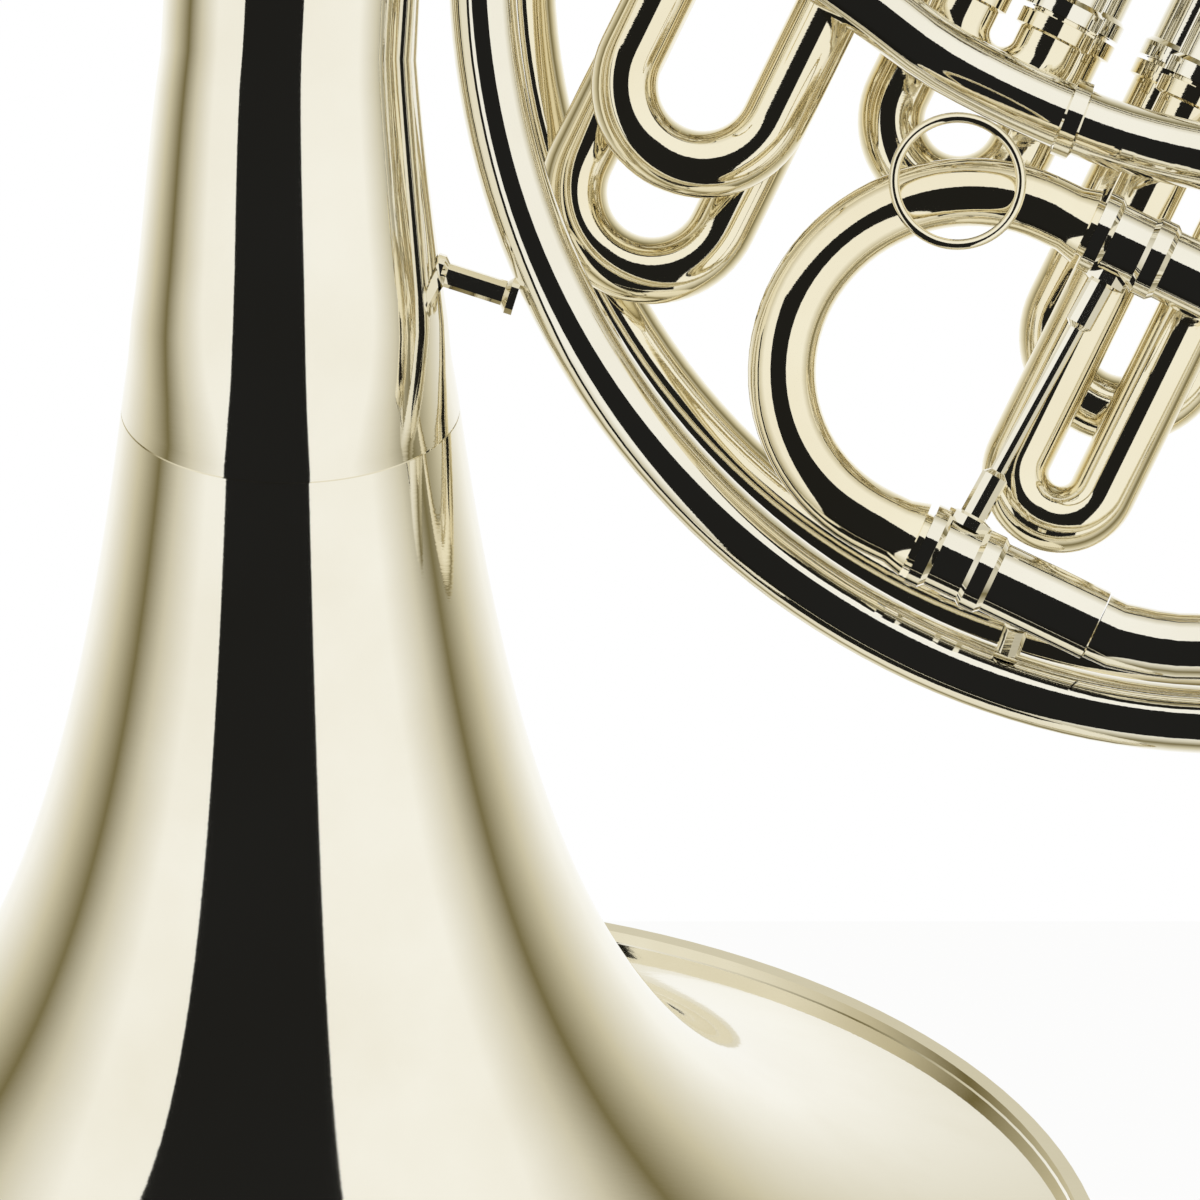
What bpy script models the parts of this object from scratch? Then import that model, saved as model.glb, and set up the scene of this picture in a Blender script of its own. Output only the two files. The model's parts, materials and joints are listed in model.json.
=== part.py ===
# Double french horn, held upright, seen from its valve side along +Y.
# The origin is the centre of the body circle. Lengths are millimetres until a mesh is made.
import math

import bmesh
import bpy
from mathutils import Matrix, Vector

MILLI = 0.001

# Driving sizes
TUBE_R = 6.4
SLEEVE_R = 6.6
SLEEVE_BORE_R = 6.0
INNER_LEG_R = 5.6
SIDES = 10
GAP = 0.3

FRONT_Y = -10.0
REAR_Y = 6.0
DEEP_Y = 22.0
INNER_LOOP_Y = 38.0
TUNING_Y = -24.0
LEADPIPE_Y = -27.0

OUTER_LOOP_LEFT_R = 141.0
OUTER_LOOP_LOW_R = 145.5
INNER_LOOP_R = 134.0

BELL_RIM_R = 155.0
BELL_FLARE_LENGTH = 40.0
BELL_FLARE_POWER = 0.9
BELL_WALL = 0.8
BELL_STRAIGHT = 190.0
BELL_TILT = math.radians(26.5)
BELL_X = -177.5
BELL_RIM_Z = -256.6
BELL_SIDES = 36
RIM_WIDTH = 3.0
TAIL_END_R = 7.0
TAIL_END_ANGLE = -15.0
TAIL_CLEAR_R = 151.5
TAIL_FRONT_Y = -12.0
TAIL_REAR_Y = 8.0

VALVE_R = 17.0
VALVE_BORE_R = 14.0
ROTOR_R = 13.7
VALVE_FRONT_Y = -2.0
VALVE_BACK_Y = 32.0
VALVE_FLOOR = 4.0
VALVE_SIDES = 20
CAP_THICK = 4.0
SPINDLE_R = 3.0
ARM_THICK = 3.0
ARM_REACH = 14.0
VALVE_PITCH = 46.7
PORT_RUN = 9.0
FIRST_VALVE = Vector((-62.0, 0.0, 51.0))
SLIDE_DIR = Vector((-0.44, 0.0, -0.898)).normalized()
ROW_DIR = Vector((0.898, 0.0, -0.44)).normalized()

# Each valve slide: name, valve number, layer, half the leg spacing, reach of its bow
SLIDES = (
    ("first_front", 0, REAR_Y, 15.0, 106.0),
    ("first_rear", 0, DEEP_Y, 15.0, 128.0),
    ("second_front", 1, REAR_Y, 8.7, 66.0),
    ("second_rear", 1, DEEP_Y, 13.0, 88.0),
    ("third_front", 2, REAR_Y, 8.7, 136.0),
    ("third_rear", 2, DEEP_Y, 14.0, 112.0),
)
SLEEVE_LENGTH = 26.0
LEG_INSET = 4.0

LEVER_Y = -26.0
LEVER_ROW_OFFSET = 30.0
ROD_R = 2.0
LEVER_HUB_R = 4.0
LEVER_HUB_LENGTH = 14.0
LEVER_REACH = 40.0
LEVER_TAIL = 17.0
LEVER_BAR = 3.0
PADDLE_R = 9.0
PLATE_Y = -6.8
PLATE_THICK = 2.5
VALVE_NAMES = ("first", "second", "third", "change")


def clear_scene():
    for old in list(bpy.data.objects):
        bpy.data.objects.remove(old, do_unlink=True)


def material(name, color, roughness):
    made = bpy.data.materials.new(name)
    made.use_nodes = True
    shader = made.node_tree.nodes["Principled BSDF"]
    shader.inputs["Base Color"].default_value = (*color, 1.0)
    shader.inputs["Roughness"].default_value = roughness
    shader.inputs["Metallic"].default_value = 1.0
    return made


def smooth_path(points, step=9.0):
    """Points along a Catmull-Rom curve through the given ones, about one every step."""
    path = []
    padded = [points[0] * 2 - points[1], *points, points[-1] * 2 - points[-2]]
    for before, start, end, after in zip(padded, padded[1:], padded[2:], padded[3:]):
        count = max(1, round((end - start).length / step))
        for number in range(count):
            t = number / count
            curve = start * 2 + (end - before) * t
            curve += (before * 2 - start * 5 + end * 4 - after) * t * t
            curve += (start * 3 - before - end * 3 + after) * t * t * t
            path.append(curve * 0.5)
    path.append(points[-1])
    return path


def arc_points(centre, radius_at, start, end, y, count):
    """Points on an arc in a plane of constant y, with a radius that may change with the angle."""
    points = []
    for number in range(count + 1):
        degrees = start + (end - start) * number / count
        angle = math.radians(degrees)
        radius = radius_at(degrees)
        points.append(centre + Vector((radius * math.cos(angle), y, radius * math.sin(angle))))
    return points


def rings_along(path, radii, sides):
    """Vertex rings of the given radii, square to a path, carried along without twist."""
    tangents = []
    for number in range(len(path)):
        ahead = path[min(number + 1, len(path) - 1)]
        behind = path[max(number - 1, 0)]
        tangents.append((ahead - behind).normalized())
    side = tangents[0].orthogonal().normalized()
    rings = []
    for place, tangent, radius in zip(path, tangents, radii):
        side = (side - tangent * side.dot(tangent)).normalized()
        other = tangent.cross(side)
        ring = []
        for number in range(sides):
            angle = 2 * math.pi * number / sides
            offset = side * math.cos(angle) + other * math.sin(angle)
            ring.append(place + offset * radius)
        rings.append(ring)
    return rings


def finish_object(name, bm, finish, pivot=Vector((0, 0, 0)), sharp=35.0):
    """Turn a bmesh in millimetres into an object whose origin is at the pivot."""
    bmesh.ops.recalc_face_normals(bm, faces=bm.faces)
    bmesh.ops.transform(bm, matrix=Matrix.Scale(MILLI, 4), verts=bm.verts)
    bmesh.ops.translate(bm, vec=-pivot * MILLI, verts=bm.verts)
    mesh = bpy.data.meshes.new(name)
    bm.to_mesh(mesh)
    bm.free()
    mesh.shade_smooth()
    mesh.set_sharp_from_angle(angle=math.radians(sharp))
    mesh.materials.append(finish)
    made = bpy.data.objects.new(name, mesh)
    made.location = pivot * MILLI
    bpy.context.collection.objects.link(made)
    return made


def sweep(name, path, radii, finish, bores=None, sides=SIDES, pivot=Vector((0, 0, 0))):
    """A round solid along a path; with bores it is a tube that is open at both ends."""
    bm = bmesh.new()
    outer = [[bm.verts.new(v) for v in ring] for ring in rings_along(path, radii, sides)]
    skins = [outer]
    if bores:
        skins.append([[bm.verts.new(v) for v in ring] for ring in rings_along(path, bores, sides)])
    for skin in skins:
        for lower, upper in zip(skin, skin[1:]):
            for number in range(sides):
                after = (number + 1) % sides
                bm.faces.new((lower[number], lower[after], upper[after], upper[number]))
    for end in (0, -1):
        if bores:
            for number in range(sides):
                after = (number + 1) % sides
                corners = (outer[end][number], outer[end][after])
                bm.faces.new((*corners, skins[1][end][after], skins[1][end][number]))
        else:
            bm.faces.new(outer[end])
    return finish_object(name, bm, finish, pivot)


def turned(name, start, axis, profile, finish, sides=SIDES, pivot=Vector((0, 0, 0))):
    """A closed outline of (distance along the axis, radius) points turned about an axis."""
    axis = axis.normalized()
    path = [start + axis * along for along, _ in profile]
    side = axis.orthogonal().normalized()
    other = axis.cross(side)
    bm = bmesh.new()
    rings = []
    for place, (_, radius) in zip(path, profile):
        if radius == 0:
            rings.append([bm.verts.new(place)] * sides)
            continue
        ring = []
        for number in range(sides):
            angle = 2 * math.pi * number / sides
            ring.append(bm.verts.new(place + (side * math.cos(angle) + other * math.sin(angle)) * radius))
        rings.append(ring)
    pairs = list(zip(rings, rings[1:]))
    if profile[0][1] and profile[-1][1]:
        pairs.append((rings[-1], rings[0]))
    for lower, upper in pairs:
        for number in range(sides):
            after = (number + 1) % sides
            corners = []
            for vert in (lower[number], lower[after], upper[after], upper[number]):
                if vert not in corners:
                    corners.append(vert)
            bm.faces.new(corners)
    return finish_object(name, bm, finish, pivot)


def slab(name, outline, y_front, thick, finish, pivot=Vector((0, 0, 0))):
    """A flat plate: an outline of (x, z) points extruded backwards along Y."""
    bm = bmesh.new()
    front = [bm.verts.new((x, y_front, z)) for x, z in outline]
    back = [bm.verts.new((x, y_front + thick, z)) for x, z in outline]
    bm.faces.new(front)
    bm.faces.new(back)
    for number in range(len(outline)):
        after = (number + 1) % len(outline)
        bm.faces.new((front[number], front[after], back[after], back[number]))
    return finish_object(name, bm, finish, pivot)


def fuse(name, pieces):
    """Union of several objects, left on the first one under the given name."""
    base = pieces[0]
    for piece in pieces[1:]:
        union = base.modifiers.new("union", "BOOLEAN")
        union.operation = "UNION"
        union.object = piece
    depsgraph = bpy.context.evaluated_depsgraph_get()
    mesh = bpy.data.meshes.new_from_object(base.evaluated_get(depsgraph))
    base.modifiers.clear()
    base.data = mesh
    base.name = name
    mesh.name = name
    for piece in pieces[1:]:
        bpy.data.objects.remove(piece, do_unlink=True)
    return base


def collared(path, radius, collar_r, places, width=3.0):
    """A path and its radii with a raised collar at each given distance along it."""
    length = [0.0]
    for start, end in zip(path, path[1:]):
        length.append(length[-1] + (end - start).length)
    marks = [(at, path[number], radius) for number, at in enumerate(length)]
    edge = 0.4
    for place in places:
        for shift, size in ((-edge, radius), (0.0, collar_r), (width, collar_r), (width + edge, radius)):
            at = place + shift
            index = max(0, min(len(path) - 2, sum(1 for mark in length if mark <= at) - 1))
            part = (at - length[index]) / (length[index + 1] - length[index])
            marks.append((at, path[index].lerp(path[index + 1], part), size))
    kept = []
    for at, point, size in sorted(marks, key=lambda mark: mark[0]):
        raised = any(place - edge < at < place + width + edge for place in places)
        if raised and size == radius:
            continue
        kept.append((at, point, size))
    return [point for _, point, _ in kept], [size for _, _, size in kept]


def bell_radius(distance):
    return BELL_RIM_R * (BELL_FLARE_LENGTH / (distance + BELL_FLARE_LENGTH)) ** BELL_FLARE_POWER


def bell_axis_point(distance):
    """The point on the straight bell axis at a distance from the rim."""
    rim_y = BELL_STRAIGHT * math.sin(BELL_TILT)
    y = rim_y - distance * math.sin(BELL_TILT)
    z = BELL_RIM_Z + distance * math.cos(BELL_TILT)
    return Vector((BELL_X, y, z))


def make_bell(finish):
    distances = [0, 2, 5, 9, 14, 20, 28, 38, 52, 70, 92, 118, 146, 172, 190]
    path = [bell_axis_point(d) for d in distances]
    radii = [bell_radius(d) for d in distances]
    bores = [r - BELL_WALL for r in radii]
    sweep("bell_flare", path, radii, finish, bores, sides=BELL_SIDES)
    rim = bell_axis_point(0)
    inner = BELL_RIM_R + GAP
    profile = ((0, inner), (RIM_WIDTH, inner), (RIM_WIDTH, inner + RIM_WIDTH), (0, inner + RIM_WIDTH))
    toward = bell_axis_point(1) - rim
    turned("bell_rim_wire", rim - toward * 0.5, toward, profile, finish, sides=BELL_SIDES)


def make_bell_tail(finish):
    """The tapering tail: up from the bell throat, over the top and in to the change valve."""
    throat = bell_axis_point(BELL_STRAIGHT + GAP)
    bend = bell_axis_point(BELL_STRAIGHT + 20)
    points = [throat, bend, Vector((BELL_X, TAIL_FRONT_Y, -20.0))]
    radii_at = [bell_radius(BELL_STRAIGHT), bell_radius(BELL_STRAIGHT + 20), 24.2]
    start = 170.0
    count = 13
    for number in range(count + 1):
        share = number / count
        degrees = start + (TAIL_END_ANGLE - start) * share
        radius = 24.0 + (TAIL_END_R + 1.0 - 24.0) * share ** 0.8
        line = TAIL_CLEAR_R + radius
        angle = math.radians(degrees)
        y = TAIL_FRONT_Y + (TAIL_REAR_Y - TAIL_FRONT_Y) * share
        points.append(Vector((line * math.cos(angle), y, line * math.sin(angle))))
        radii_at.append(radius)
    points.extend((Vector((136, 12, -68)), Vector((114, 18, -60)), Vector((98, 22, -38))))
    points.extend(reversed(port(3, ROW_DIR.xz, DEEP_Y)))
    radii_at.extend([TAIL_END_R] * 5)
    path = smooth_path(points, step=22.0)
    radii = spread_radii(points, radii_at, path)
    sweep("bell_tail", path, radii, finish, sides=16)


def spread_radii(points, radii_at, path):
    """Radius at every path point, from the nearest two of the points that the path passes."""
    marks = []
    index = 0
    for number, place in enumerate(path):
        if index < len(points) and (place - points[index]).length < 1e-6:
            marks.append(number)
            index += 1
    radii = []
    for number in range(len(path)):
        span = max(0, sum(1 for mark in marks if mark <= number) - 1)
        after = min(span + 1, len(marks) - 1)
        width = max(1, marks[after] - marks[span])
        share = (number - marks[span]) / width
        radii.append(radii_at[span] + (radii_at[after] - radii_at[span]) * share)
    return radii


def valve_centre(number):
    return FIRST_VALVE + ROW_DIR * (VALVE_PITCH * number)


def port(number, direction, y):
    """Two points square to a valve casing: the tube's end just off it, and one further out."""
    centre = valve_centre(number) + Vector((0, y, 0))
    way = Vector((direction[0], 0, direction[1])).normalized()
    return centre + way * (VALVE_R + GAP), centre + way * (VALVE_R + PORT_RUN)


def make_branches(gold, silver):
    centre = Vector((0, 0, 0))

    def outer_radius(degrees):
        share = max(0.0, min(1.0, (degrees - 180) / 90))
        return OUTER_LOOP_LEFT_R + (OUTER_LOOP_LOW_R - OUTER_LOOP_LEFT_R) * share

    points = [*port(1, (0.4, 0.9), REAR_Y), Vector((-9, 4, 78)), Vector((-17, -3, 106)), Vector((-42, -8, 127))]
    points.extend(arc_points(centre, outer_radius, 125, 310, FRONT_Y, 12))
    points.extend((Vector((102, -6, -84)), *reversed(port(3, (0.55, -0.84), REAR_Y))))
    path, radii = collared(smooth_path(points, 18), TUBE_R, TUBE_R + 1.2, (60, 560))
    sweep("outer_loop", path, radii, silver)

    points = [*port(0, (0.5, 0.87), DEEP_Y), Vector((-44, 26, 88)), Vector((-58, 35, 104))]
    points.extend(arc_points(centre, lambda _: INNER_LOOP_R, 135, 295, INNER_LOOP_Y, 12))
    points.extend((Vector((76, 34, -94)), Vector((72, 26, -60)), *reversed(port(3, (0.1, -1), DEEP_Y))))
    path, radii = collared(smooth_path(points, 18), TUBE_R, TUBE_R + 1.2, (40, 500))
    sweep("inner_loop", path, radii, gold)

    points = [
        *port(0, (-0.44, 0.9), REAR_Y), Vector((-84, -1, 86)), Vector((-97, -8, 76)),
        Vector((-106, FRONT_Y, 52)), Vector((-99, FRONT_Y, 20)), Vector((-82, FRONT_Y, 1)),
        Vector((-66, FRONT_Y, -11.3)), Vector((-53, FRONT_Y, -20.8)), Vector((-34, FRONT_Y, -30.2)),
        Vector((-15, FRONT_Y, -36.8)), Vector((6, FRONT_Y, -40)), Vector((30, -5, -36)),
        *reversed(port(3, (-0.87, -0.5), REAR_Y)),
    ]
    path, radii = collared(smooth_path(points, 14), TUBE_R, TUBE_R + 1.2, (90, 190))
    sweep("front_branch", path, radii, silver)


# Main tuning slide: the two ends of its bow, and the ways its legs run
BOW_TOP = Vector((-34.3, TUNING_Y, -49.4))
BOW_LOW = Vector((-66.6, TUNING_Y, -108.1))
LEG_WAY = Vector((0.907, 0, -0.43)).normalized()
BOW_SLEEVE_START = 9.0
BOW_SLEEVE_LENGTH = 36.0


def make_main_slide(gold, silver):
    middle = (BOW_TOP + BOW_LOW) / 2
    radius = (BOW_TOP - BOW_LOW).length / 2
    up = (BOW_TOP - BOW_LOW).normalized()
    out = -LEG_WAY
    points = [BOW_TOP + LEG_WAY * (BOW_SLEEVE_START + BOW_SLEEVE_LENGTH - 3), BOW_TOP + LEG_WAY * 4]
    for number in range(13):
        angle = math.pi * number / 12
        points.append(middle + up * (radius * math.cos(angle)) + out * (radius * math.sin(angle)))
    points.append(BOW_LOW + LEG_WAY * 4)
    points.append(BOW_LOW + LEG_WAY * (BOW_SLEEVE_START + BOW_SLEEVE_LENGTH - 3))
    inside = BOW_SLEEVE_START - 1.5
    path = []
    radii = []
    for number, place in enumerate(points):
        size = INNER_LEG_R if number in (0, len(points) - 1) else TUBE_R
        if number == len(points) - 1:
            edge = BOW_LOW + LEG_WAY * inside
            path.extend((edge, edge + LEG_WAY * 0.3))
            radii.extend((TUBE_R + 1.0, INNER_LEG_R))
        path.append(place)
        radii.append(size)
        if number == 0:
            edge = BOW_TOP + LEG_WAY * inside
            path.extend((edge + LEG_WAY * 0.3, edge))
            radii.extend((INNER_LEG_R, TUBE_R + 1.0))
    sweep("main_tuning_bow", path, radii, gold, pivot=BOW_TOP)
    pieces = []
    for end in (BOW_TOP, BOW_LOW):
        start = end + LEG_WAY * BOW_SLEEVE_START
        profile = (
            (0, SLEEVE_BORE_R), (0, 8.0), (2.5, 8.0), (3.5, SLEEVE_R + 0.4), (10, SLEEVE_R + 0.4),
            (11, 7.8), (14, 7.8), (15, SLEEVE_R + 0.3), (BOW_SLEEVE_LENGTH, SLEEVE_R + 0.3),
            (BOW_SLEEVE_LENGTH, SLEEVE_BORE_R),
        )
        pieces.append(turned("sleeve", start, LEG_WAY, profile, silver))
    strut_top = BOW_TOP + LEG_WAY * (BOW_SLEEVE_START + 6)
    strut_low = BOW_LOW + LEG_WAY * (BOW_SLEEVE_START + 6)
    way = (strut_low - strut_top).normalized()
    span = (strut_low - strut_top).length
    near = SLEEVE_R - 0.4
    profile = (
        (near, 0), (near, 4.5), (near + 2, 4.5), (near + 2.6, 2.6), (near + 11, 2.6), (near + 12, 1.5),
        (span - near - 12, 1.5), (span - near - 11, 2.6), (span - near - 2.6, 2.6),
        (span - near - 2, 4.5), (span - near, 4.5), (span - near, 0),
    )
    pieces.append(turned("strut", strut_top, way, profile, silver, sides=10))
    fuse("main_slide_sleeves", pieces)

    start = BOW_TOP + LEG_WAY * (BOW_SLEEVE_START + BOW_SLEEVE_LENGTH + GAP)
    points = [start, start + LEG_WAY * 14, Vector((28, -16, -74)), Vector((42, 4, -56))]
    points.extend(reversed(port(3, (-0.78, -0.63), DEEP_Y)))
    path = smooth_path(points, 10)
    sweep("tuning_branch", path, [TUBE_R] * len(path), gold)


LEADPIPE_R = 131.5
RECEIVER_START = Vector((131.0, LEADPIPE_Y, 62.0))
MOUTH_WAY = Vector((0.08, 0, 1)).normalized()
RECEIVER_LENGTH = 34.0
MOUTHPIECE_LENGTH = 66.0


def make_leadpipe(gold, silver):
    start = BOW_LOW + LEG_WAY * (BOW_SLEEVE_START + BOW_SLEEVE_LENGTH + GAP)
    points = [start, start + LEG_WAY * 4]
    for degrees, y in ((-92, TUNING_Y), (-76, -26), (-60, LEADPIPE_Y), (-50, LEADPIPE_Y), (-36, LEADPIPE_Y),
                       (-18, LEADPIPE_Y), (0, LEADPIPE_Y), (14, LEADPIPE_Y)):
        angle = math.radians(degrees)
        points.append(Vector((LEADPIPE_R * math.cos(angle), y, LEADPIPE_R * math.sin(angle))))
    points.append(RECEIVER_START - MOUTH_WAY * GAP)
    path = smooth_path(points, 14)
    last = len(path) - 1
    radii = [TUBE_R - 1.8 * number / last for number in range(len(path))]
    sweep("leadpipe", path, radii, silver)
    profile = (
        (0, 0), (0, 6.0), (4, 7.6), (7, 6.4), (RECEIVER_LENGTH - 5, 7.0), (RECEIVER_LENGTH - 4, 8.2),
        (RECEIVER_LENGTH, 8.2), (RECEIVER_LENGTH, 4.8), (8, 4.8), (8, 0),
    )
    turned("mouthpiece_receiver", RECEIVER_START, MOUTH_WAY, profile, gold)
    shank = RECEIVER_START + MOUTH_WAY * 12
    end = MOUTHPIECE_LENGTH
    profile = (
        (0, 0), (0, 3.8), (24, 4.4), (34, 4.8), (end - 18, 6.0), (end - 12, 9.5), (end - 3, 12.2),
        (end - 2, 13.0), (end, 13.0), (end, 8.6), (end - 14, 3.0), (end - 22, 2.0), (end - 22, 0),
    )
    turned("mouthpiece", shank, MOUTH_WAY, profile, silver, sides=16, pivot=shank)


def make_valve(number, gold, silver):
    centre = valve_centre(number)
    name = VALVE_NAMES[number]
    front = centre + Vector((0, VALVE_FRONT_Y, 0))
    axis = Vector((0, 1, 0))
    depth = VALVE_BACK_Y - VALVE_FRONT_Y
    profile = (
        (0, VALVE_BORE_R), (0, VALVE_R), (depth, VALVE_R), (depth, 0),
        (depth - VALVE_FLOOR, 0), (depth - VALVE_FLOOR, VALVE_BORE_R),
    )
    outline = profile[4:] + profile[:4]
    turned(f"{name}_valve_casing", front, axis, outline, gold, sides=VALVE_SIDES)
    cap_front = VALVE_FRONT_Y - GAP - CAP_THICK
    start = centre + Vector((0, cap_front, 0))
    bore = SPINDLE_R + 0.4
    profile = ((0, bore), (0, VALVE_R - 2), (1.5, VALVE_R), (CAP_THICK, VALVE_R), (CAP_THICK, bore))
    turned(f"{name}_valve_cap", start, axis, profile, silver, sides=VALVE_SIDES)
    tip = cap_front - 3.2
    start = centre + Vector((0, tip, 0))
    body_start = VALVE_FRONT_Y + 0.5 - tip
    body_end = VALVE_BACK_Y - VALVE_FLOOR - 0.5 - tip
    profile = ((0, 0), (0, SPINDLE_R), (body_start, SPINDLE_R), (body_start, ROTOR_R), (body_end, ROTOR_R), (body_end, 0))
    turned(f"{name}_rotor", start, axis, profile, silver, sides=VALVE_SIDES, pivot=centre)
    outline = []
    for step in range(9):
        angle = math.pi * (0.5 + step / 8)
        outline.append((5.0 * math.cos(angle), 5.0 * math.sin(angle)))
    for step in range(5):
        angle = math.pi * (-0.5 + step / 4)
        outline.append((ARM_REACH - 3.0 + 3.0 * math.cos(angle), 3.0 * math.sin(angle)))
    turn = math.radians(45)
    placed = []
    for x, z in outline:
        along = x * math.cos(turn) - z * math.sin(turn)
        across = x * math.sin(turn) + z * math.cos(turn)
        placed.append((centre.x + along, centre.z + across))
    slab(f"{name}_stop_arm", placed, tip - GAP - ARM_THICK, ARM_THICK, gold, pivot=centre)


def make_valve_slide(name, number, layer, half, reach, gold, silver):
    """A fixed pair of sleeves with a flanged brace, and the sliding bow inside them."""
    base = valve_centre(number) + Vector((0, layer, 0))
    bow_r = half
    leg_start = math.sqrt(VALVE_R ** 2 - max(0.0, half - SLEEVE_R) ** 2) + GAP
    bow_at = reach - bow_r - TUBE_R
    mouth = leg_start + SLEEVE_LENGTH
    pieces = []
    for sign in (-1, 1):
        start = base + ROW_DIR * (half * sign) + SLIDE_DIR * leg_start
        profile = (
            (0, SLEEVE_BORE_R), (0, SLEEVE_R), (SLEEVE_LENGTH - 4, SLEEVE_R), (SLEEVE_LENGTH - 3, 7.6),
            (SLEEVE_LENGTH, 7.6), (SLEEVE_LENGTH, SLEEVE_BORE_R),
        )
        pieces.append(turned("sleeve", start, SLIDE_DIR, profile, silver))
    brace = base + SLIDE_DIR * (leg_start + SLEEVE_LENGTH / 2)
    inner = half - SLEEVE_R + 0.4
    profile = ((-inner, 0), (-inner, 3.6), (-inner + 1.2, 3.6), (-inner + 1.2, 1.6), (inner - 1.2, 1.6),
               (inner - 1.2, 3.6), (inner, 3.6), (inner, 0))
    if inner < 2.6:
        profile = ((-inner, 0), (-inner, 3.6), (inner, 3.6), (inner, 0))
    pieces.append(turned("brace", brace, ROW_DIR, profile, silver, sides=10))
    fuse(f"{name}_sleeves", pieces)
    collar = mouth + 1.0
    legs = []
    for sign in (-1, 1):
        side = base + ROW_DIR * (half * sign)
        legs.append([
            (side + SLIDE_DIR * (leg_start + LEG_INSET), INNER_LEG_R),
            (side + SLIDE_DIR * (collar - 0.3), INNER_LEG_R),
            (side + SLIDE_DIR * collar, TUBE_R + 1.2),
            (side + SLIDE_DIR * (collar + 3), TUBE_R + 1.2),
            (side + SLIDE_DIR * (collar + 3.4), TUBE_R),
        ])
    bow = []
    middle = base + SLIDE_DIR * bow_at
    for step in range(9):
        angle = math.pi * step / 8
        bow.append((middle - ROW_DIR * (bow_r * math.cos(angle)) + SLIDE_DIR * (bow_r * math.sin(angle)), TUBE_R))
    marks = [*legs[0], *bow, *reversed(legs[1])]
    sweep(f"{name}_slide", [place for place, _ in marks], [size for _, size in marks], gold, pivot=middle)


def make_levers(gold, silver):
    first = valve_centre(0) - SLIDE_DIR * LEVER_ROW_OFFSET + Vector((0, LEVER_Y, 0))
    rod_start = first - ROW_DIR * 15
    rod_length = VALVE_PITCH * 3 + 30
    profile = ((0, 0), (0, ROD_R), (rod_length, ROD_R), (rod_length, 0))
    turned("lever_hinge_rod", rod_start, ROW_DIR, profile, silver, sides=10)
    for number, name in enumerate(VALVE_NAMES):
        hinge = first + ROW_DIR * (VALVE_PITCH * number)
        half = LEVER_HUB_LENGTH / 2
        bore = ROD_R + 0.3
        profile = ((-half, bore), (-half, LEVER_HUB_R), (half, LEVER_HUB_R), (half, bore))
        hub = turned("hub", hinge, ROW_DIR, profile, silver, sides=10)
        up = -SLIDE_DIR
        outline = lever_outline(hinge, up)
        bar = slab("bar", outline, LEVER_Y - LEVER_HUB_R - 1.2, 2.4, silver)
        paddle_at = hinge + up * (LEVER_REACH - PADDLE_R)
        points = []
        for step in range(14):
            angle = 2 * math.pi * step / 14
            place = paddle_at + up * (PADDLE_R * 1.4 * math.cos(angle)) + ROW_DIR * (PADDLE_R * math.sin(angle))
            points.append((place.x, place.z))
        paddle = slab("paddle", points, LEVER_Y - LEVER_HUB_R - 2.0, 2.6, silver)
        lever = fuse(f"{name}_lever", [hub, bar, paddle])
        shift_origin(lever, hinge)
    for number, share in enumerate((0.02, 0.98)):
        foot = rod_start + ROW_DIR * (rod_length * share)
        base = Vector((foot.x, PLATE_Y - PLATE_THICK - GAP, foot.z))
        height = base.y - (LEVER_Y + ROD_R + GAP)
        profile = ((0, 0), (0, 4.0), (1.5, 4.0), (2.5, 2.2), (height, 2.2), (height, 0))
        turned(f"hinge_post_{number + 1}", base, Vector((0, -1, 0)), profile, gold, sides=10)
    start = rod_start - ROW_DIR * 3
    end = rod_start + ROW_DIR * (rod_length + 3)
    low = SLIDE_DIR * 14
    high = -SLIDE_DIR * 6
    corners = (start + low, end + low, end + high, start + high)
    slab("lever_plate", [(c.x, c.z) for c in corners], PLATE_Y - PLATE_THICK, PLATE_THICK, gold)


def lever_outline(hinge, up):
    half = LEVER_BAR / 2
    corners = (
        hinge - up * LEVER_TAIL - ROW_DIR * half, hinge - up * LEVER_TAIL + ROW_DIR * half,
        hinge + up * LEVER_REACH * 0.8 + ROW_DIR * half, hinge + up * LEVER_REACH * 0.8 - ROW_DIR * half,
    )
    return [(corner.x, corner.z) for corner in corners]


def shift_origin(made, place):
    """Move an object's origin without moving its mesh in the world."""
    offset = Vector(place) * MILLI
    made.data.transform(Matrix.Translation(made.location - offset))
    made.location = offset


def rod_between(name, start, end, radius, finish, foot=0.0):
    """A brace: a rod with a disc foot at each end."""
    way = end - start
    length = way.length
    profile = [(0, 0), (0, radius), (length, radius), (length, 0)]
    if foot:
        profile = [(0, 0), (0, foot), (1.5, foot), (2.5, radius), (length - 2.5, radius),
                   (length - 1.5, foot), (length, foot), (length, 0)]
    return turned(name, start, way, profile, finish, sides=10)


def make_braces(gold, silver):
    bell_side = Vector((-145.4, FRONT_Y, -62))
    loop_side = Vector((-136.0, FRONT_Y, -65.5))
    rod_between("bell_brace", bell_side, loop_side, 2.4, silver, foot=3.6)
    sleeve = BOW_LOW + LEG_WAY * (BOW_SLEEVE_START + 22)
    on_loop = Vector((sleeve.x, 0, sleeve.z)).normalized() * (OUTER_LOOP_LOW_R - 1.3)
    on_loop.y = FRONT_Y
    way = (on_loop - sleeve).normalized()
    lower = sleeve + way * (SLEEVE_R + 1.6)
    rod_between("tuning_brace", lower, on_loop - way * (TUBE_R + 1.2), 2.4, silver)


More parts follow.
